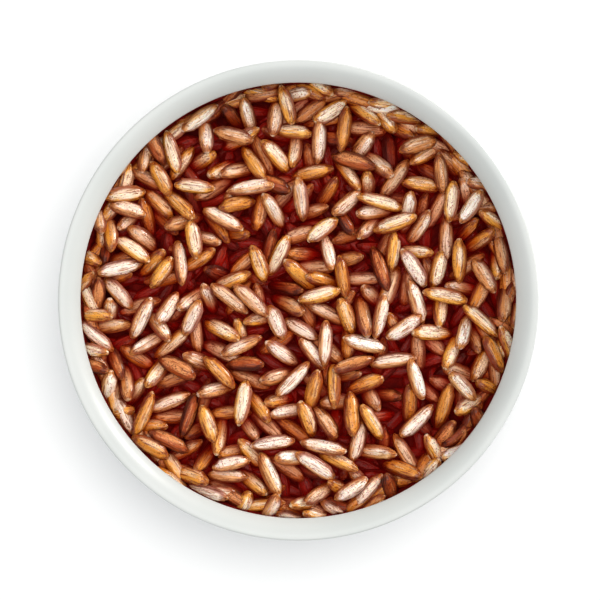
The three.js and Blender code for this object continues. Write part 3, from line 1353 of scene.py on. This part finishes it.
    def press_and_note(self, mesh: bpy.types.Mesh, surface: np.ndarray) -> None:
        """Presses grains flat where they meet the wall, and notes how deep each place lies.

        Args:
            mesh: the grains of one kind.
            surface: the level that the tops of the grains reach.
        """
        places = np.empty(3 * len(mesh.vertices), np.float32)
        mesh.vertices.foreach_get("co", places)
        places = places.reshape(-1, 3) / MM
        room = self.bowl.inside_radius(places[:, 2]) - self.press_gap
        reach = np.hypot(places[:, 0], places[:, 1])
        places[:, :2] *= np.minimum(1.0, room / np.maximum(reach, 1.0))[:, None]
        mesh.vertices.foreach_set("co", (places * MM).astype(np.float32).ravel())
        depth = self.heap.buried(*places.T, surface)
        kept = mesh.attributes.new("grain_depth", "FLOAT", "POINT")
        kept.data.foreach_set("value", depth.astype(np.float32))
        mesh.update()

    def build_core(self) -> bpy.types.Object:
        """Makes the dark core, with bumps of a grain's size and an edge that turns up the wall.

        Returns:
            The core's object.
        """
        edge = self.bowl.inside_radius(self.core_edge_level) - self.core_gap
        radius = np.linspace(0.0, edge, self.core_rings)
        rise = np.clip((radius - (edge - self.core_skirt)) / self.core_skirt, 0.0, 1.0) ** self.core_rise
        level = self.core_level + (self.core_edge_level - self.core_level) * rise
        top = np.column_stack([radius, level])[::-1]
        wall = self.bowl.inner_wall(self.heap.wall_steps)[::-1]
        below = wall[wall[:, 1] < self.core_edge_level]
        side = np.column_stack([np.clip(below[:, 0] - self.core_gap, 0, None), below[:, 1] + self.core_gap])
        places, faces = turned(np.vstack([side, top]), self.core_sides)
        upper = places[:, 2] >= self.core_level - self.core_gap / 2
        reach = np.hypot(places[:, 0], places[:, 1])
        inner = upper & (reach < edge - self.smooth_edge)
        (wave_x, wave_y), (bend_x, bend_y) = self.bump_waves, self.bump_bends
        x, y = places[inner, 0], places[inner, 1]
        across = np.sin(wave_x * x + bend_x[0] * np.sin(bend_x[1] * y))
        along = np.sin(wave_y * y + bend_y[0] * np.sin(bend_y[1] * x))
        places[inner, 2] += self.core_bump * across * along
        piece = make_piece("rice_core", places, faces, self.core_finish.material())
        join_part(piece, "rice")
        return piece

    def build(self) -> list[bpy.types.Object]:
        """Makes the core and one piece for each kind of grain.

        Returns:
            The pieces.
        """
        grains = self.heap.fill()
        log.info("settled %d grains that show", len(grains))
        draw = np.random.default_rng(self.seed)
        forms = self.grain_shapes(draw)
        tree = self.spread_tree()
        kinds = list(GrainKind)
        shares = np.array([kind.share for kind in kinds])
        grains += self.bedded_grains(draw)
        picked = draw.choice(len(kinds), size=len(grains), p=shares / shares.sum())
        surface = self.heap.surface()
        pieces = [self.build_core()]
        for index, kind in enumerate(kinds):
            own = [grain for grain, chosen in zip(grains, picked) if chosen == index]
            pieces.append(self.build_kind(kind, own, tree, forms, draw, surface))
        return pieces


# ---------------------------------------------------------------------------------------------
# The studio
# ---------------------------------------------------------------------------------------------


class Reach(Enum):
    """What a light falls on, as the state that the table has in its list."""

    BOWL = "EXCLUDE"
    TABLE = "INCLUDE"


@dataclass(frozen=True)
class SoftLight:
    """A soft round light that faces the bowl. Its size and distance are in metres."""

    name: str
    azimuth: float  # degrees round from +X
    elevation: float  # degrees over the table
    size: float
    power: float
    reach: Reach
    distance: float = 0.5
    tint: Colour = (1.0, 0.985, 0.96)

    def build(self, table: bpy.types.Object) -> None:
        """Makes the light, which reaches the table alone or all but the table.

        Args:
            table: the table.
        """
        side, height = math.radians(self.azimuth), math.radians(self.elevation)
        level = math.cos(height)
        towards = Vector((math.cos(side) * level, math.sin(side) * level, math.sin(height)))
        data = bpy.data.lights.new(self.name, "AREA")
        data.shape = "DISK"
        data.size = self.size
        data.energy = self.power
        data.color = self.tint
        light = bpy.data.objects.new(self.name, data)
        light.location = towards * self.distance + Vector((0, 0, BOWL_HEIGHT * MM))
        light.rotation_euler = towards.to_track_quat("Z", "Y").to_euler()
        bpy.context.scene.collection.objects.link(light)
        listed = bpy.data.collections.new(f"{self.name}_reach")
        listed.objects.link(table)
        light.light_linking.receiver_collection = listed
        listed.collection_objects[0].light_linking.link_state = self.reach.value


@dataclass(frozen=True)
class Studio:
    """A white table under soft lights, seen from straight above.

    The bowl has a low key from the upper right and a wide light overhead. The table has a light
    of its own that stands steeper, so that the bowl's shadow on it stays close and pale.
    """

    lens: float = 120.0
    sensor: float = 36.0
    frame_width: float = 87.2  # millimetres across the picture at the lip
    camera_x: float = 0.25  # the bowl stands this much left of the picture's middle
    camera_y: float = 0.06
    clip: Band = (0.01, 10.0)  # metres from the camera
    lights: tuple[SoftLight, ...] = (
        SoftLight("soft_key", azimuth=38.0, elevation=17.0, size=0.18, power=1.38, reach=Reach.BOWL),
        SoftLight("overhead", azimuth=0.0, elevation=90.0, size=0.4, power=0.8, reach=Reach.BOWL),
        SoftLight("table_key", azimuth=52.0, elevation=81.0, size=0.2, power=0.98, reach=Reach.TABLE),
    )
    fill: float = 0.65
    fill_tint: Colour = (0.97, 0.985, 1.0)
    look: str = "Medium High Contrast"
    floor_reach: float = 3000.0
    floor_tone: float = 0.92
    floor_roughness: float = 0.9
    floor_glow: float = 0.03

    def build_camera(self) -> None:
        """Makes the camera, looking straight down with +Y at the top of the picture."""
        data = bpy.data.cameras.new("overhead")
        data.lens, data.sensor_width = self.lens, self.sensor
        data.clip_start, data.clip_end = self.clip
        distance = self.frame_width * self.lens / self.sensor
        camera = bpy.data.objects.new("overhead", data)
        camera.location = Vector((self.camera_x, self.camera_y, BOWL_HEIGHT + distance)) * MM
        bpy.context.scene.collection.objects.link(camera)
        bpy.context.scene.camera = camera

    def build_fill(self) -> None:
        """Makes the even light from all round."""
        world = bpy.data.worlds.new("even_fill")
        world.use_nodes = True
        background = world.node_tree.nodes["Background"]
        background.inputs["Color"].default_value = (*self.fill_tint, 1.0)
        background.inputs["Strength"].default_value = self.fill
        bpy.context.scene.world = world

    def build_floor(self) -> bpy.types.Object:
        """Makes the plain white table.

        Returns:
            The table.
        """
        shader = Shader("white_table")
        shader.dress(
            {
                "Base Color": (self.floor_tone,) * 3,
                "Roughness": self.floor_roughness,
                "Specular IOR Level": 0.0,
                "Emission Color": (1.0, 1.0, 1.0),
                "Emission Strength": self.floor_glow,
            }
        )
        reach = self.floor_reach
        corners = np.array([[-reach, -reach, 0], [reach, -reach, 0], [reach, reach, 0], [-reach, reach, 0]])
        floor = make_piece("white_table", corners, [(0, 1, 2, 3)], shader.material)
        return floor

    def build(self) -> None:
        """Makes everything that isn't the object."""
        self.build_camera()
        table = self.build_floor()
        for light in self.lights:
            light.build(table)
        self.build_fill()
        bpy.context.scene.view_settings.view_transform = "Standard"
        bpy.context.scene.view_settings.look = self.look
        log.info("studio: %d soft lights, fill %.2f", len(self.lights), self.fill)


def main() -> None:
    """Builds the studio, the bowl and the rice."""
    logging.basicConfig(level=logging.INFO, format="%(name)s: %(message)s")
    Studio().build()
    bowl = Bowl()
    bowl.build()
    Rice(bowl, Heap(bowl)).build()


if __name__ == "__main__":
    main()
